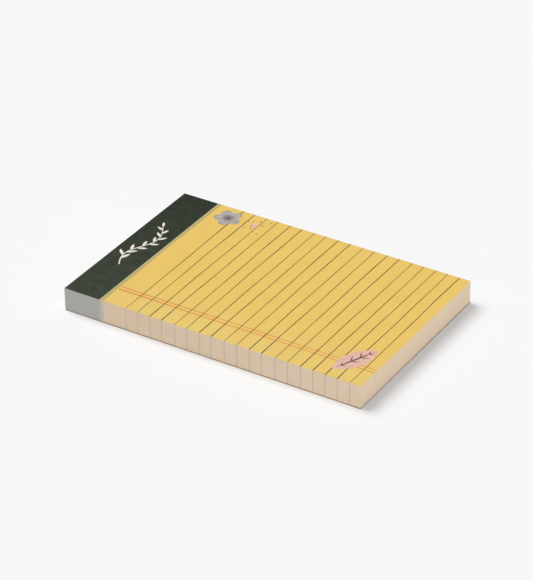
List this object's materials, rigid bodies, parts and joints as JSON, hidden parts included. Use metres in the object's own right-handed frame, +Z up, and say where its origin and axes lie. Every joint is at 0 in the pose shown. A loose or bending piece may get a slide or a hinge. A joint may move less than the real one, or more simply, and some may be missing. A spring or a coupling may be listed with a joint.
{
  "type": "legal pad",
  "caption": "Ruled yellow legal pad with a dark header band and a double margin line: a glued stack of printed sheets on a chipboard back.",
  "frame": {"origin": "under the middle of the pad, on the surface that it rests on", "axes": "+Z up out of the printed face, +Y along the pad's length towards the bound head, +X towards a reader's right"},
  "size_m": [0.1396, 0.2162, 0.0164],
  "materials": {
    "sheet_paper": "matte",
    "chipboard": "matte",
    "padding_glue": "satin",
    "yellow_ink": "matte",
    "header_ink": "matte",
    "edging_ink": "matte",
    "rule_ink": "matte",
    "margin_ink": "matte",
    "cream_ink": "matte",
    "grey_ink": "matte",
    "pink_ink": "matte",
    "dark_ink": "matte"
  },
  "bodies": {
    "root": {"page_block": "sheet_paper", "backing_board": "chipboard", "padding_adhesive": "padding_glue", "yellow_print": "yellow_ink", "header_print": "header_ink", "edging_print": "edging_ink", "rule_print": "rule_ink", "margin_print": "margin_ink", "sprig_print": "cream_ink", "blossom_print": "grey_ink", "leaf_print": "pink_ink", "detail_print": "dark_ink"}
  },
  "joints": []
}
